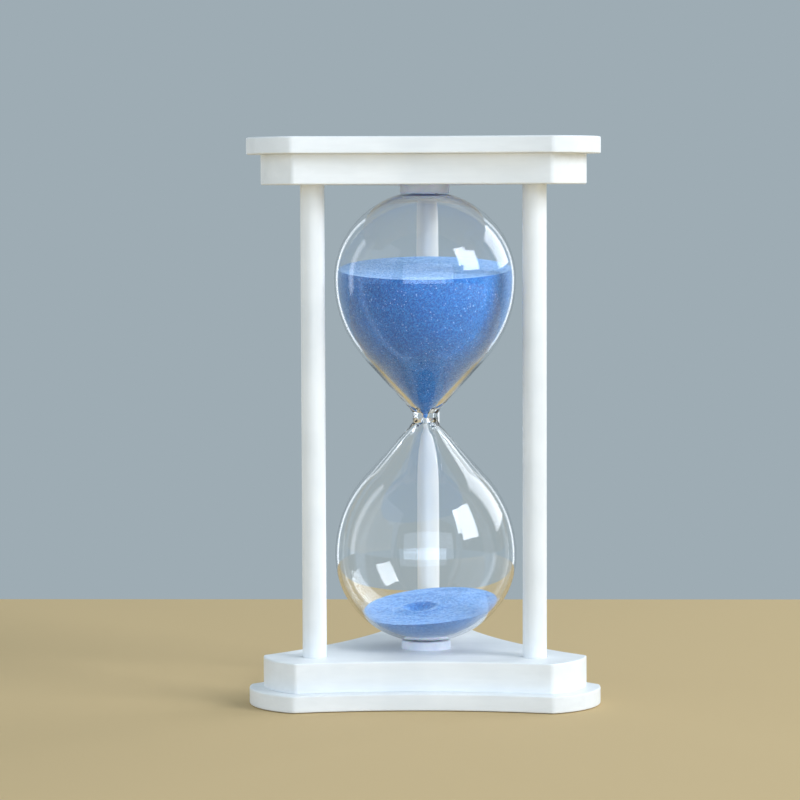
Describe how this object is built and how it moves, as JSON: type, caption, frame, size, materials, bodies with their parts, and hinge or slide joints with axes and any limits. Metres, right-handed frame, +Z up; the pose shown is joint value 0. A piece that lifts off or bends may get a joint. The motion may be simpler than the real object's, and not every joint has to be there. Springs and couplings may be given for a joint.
{
  "type": "hourglass",
  "caption": "Sand timer with a clear blown glass of teardrop bulbs, blue sand and a white wooden frame of triangular ends and round posts.",
  "frame": {"origin": "under the glass axis, in the plane of the base plate's lower face, which the hourglass stands on", "axes": "+Z up along the glass axis, +Y towards the rear post, +X towards the front right post's side"},
  "size_m": [0.1244, 0.1131, 0.2],
  "materials": {
    "painted_wood": "satin",
    "clear_glass": "polished",
    "blue_sand": "matte",
    "seat_foam": "matte",
    "screw_steel": "satin",
    "cork": "matte"
  },
  "bodies": {
    "frame": {"base_plate": "painted_wood", "base_block": "painted_wood", "top_block": "painted_wood", "top_plate": "painted_wood", "post_front_left": "painted_wood", "post_front_right": "painted_wood", "post_rear": "painted_wood", "lower_seat_ring": "seat_foam", "upper_seat_ring": "seat_foam", "base_screw_front_left": "screw_steel", "base_screw_front_right": "screw_steel", "base_screw_rear": "screw_steel", "top_screw_front_left": "screw_steel", "top_screw_front_right": "screw_steel", "top_screw_rear": "screw_steel"},
    "glass": {"glass_vessel": "clear_glass", "fill_stopper": "cork", "sand_upper": "blue_sand", "sand_lower": "blue_sand"}
  },
  "joints": [
    {"name": "glass_turn", "type": "hinge", "parent": "frame", "child": "glass", "pos_m": [0, 0, 0.1], "axis": [0, 0, 1], "continuous": true}
  ]
}
